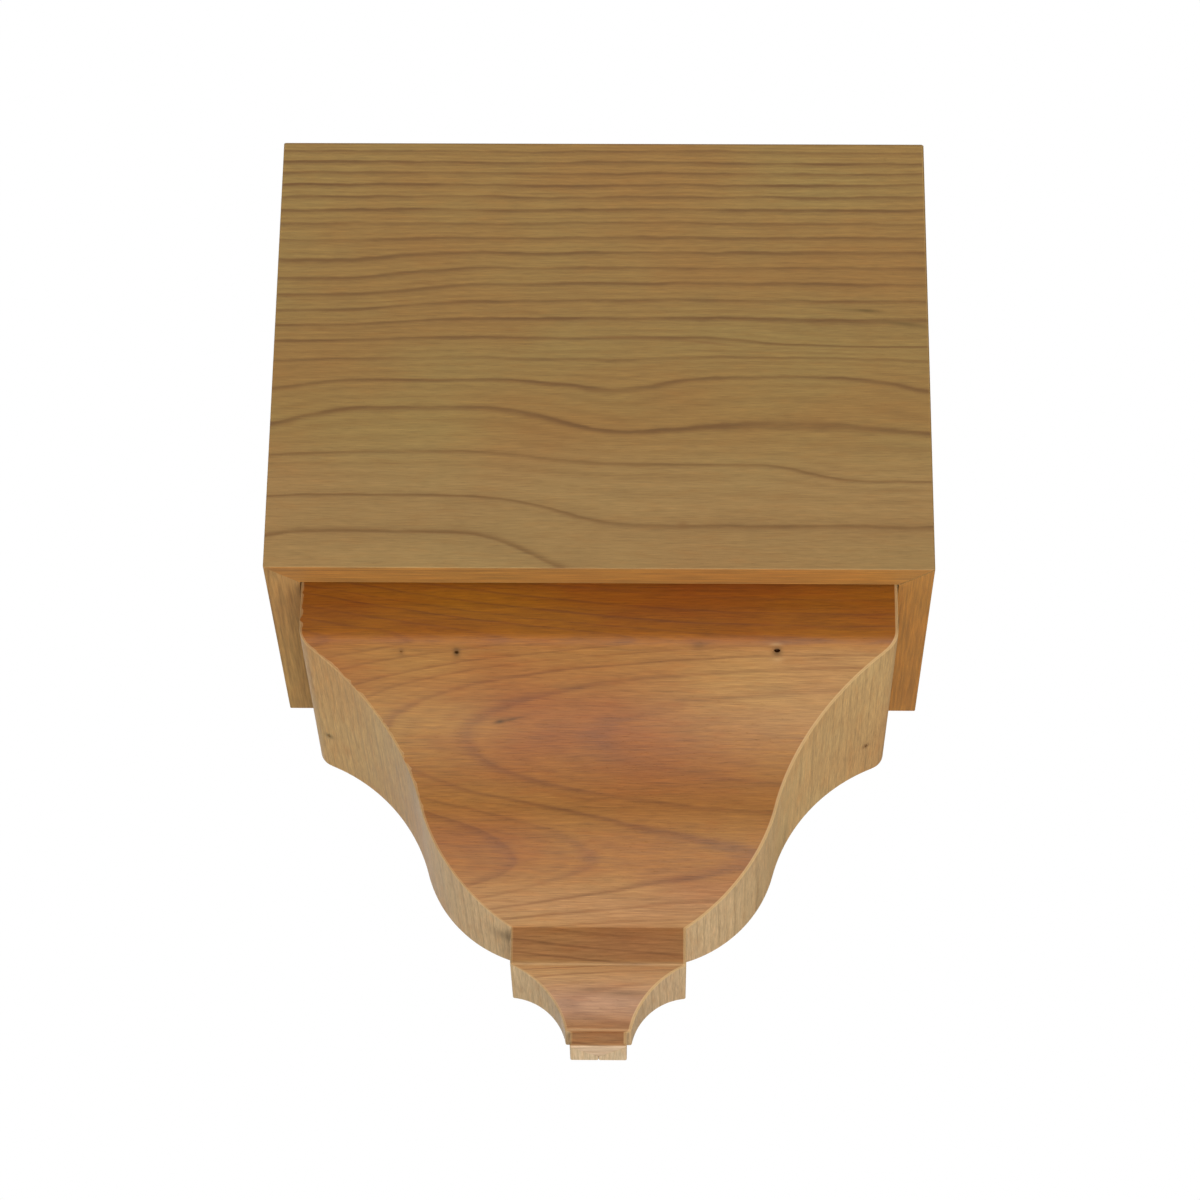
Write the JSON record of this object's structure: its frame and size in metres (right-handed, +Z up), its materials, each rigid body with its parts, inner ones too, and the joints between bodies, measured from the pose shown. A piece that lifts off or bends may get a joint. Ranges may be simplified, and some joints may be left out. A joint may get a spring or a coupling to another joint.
{
  "type": "crown moulding block",
  "caption": "Unfinished wooden crown moulding block: a mitred box of thin boards over crown moulding that tapers to a small foot, hollow and open at the back and top.",
  "frame": {"origin": "on the wall plane, at the middle of the block's width, at the height of the boards' top edges, where the ceiling meets them", "axes": "+X to the right as seen from the room, +Y into the wall, +Z up; the block hangs below the origin and stands out towards -Y"},
  "size_m": [0.184, 0.095, 0.2445],
  "materials": {
    "board_wood": "bare planed wood, satin, light brown with fine darker grain lines",
    "crown_wood": "bare moulded wood, satin, reddish brown with long flame grain"
  },
  "bodies": {
    "root": {"front_board": "board_wood", "left_board": "board_wood", "right_board": "board_wood", "front_crown": "crown_wood", "left_crown": "crown_wood", "right_crown": "crown_wood"}
  },
  "joints": []
}
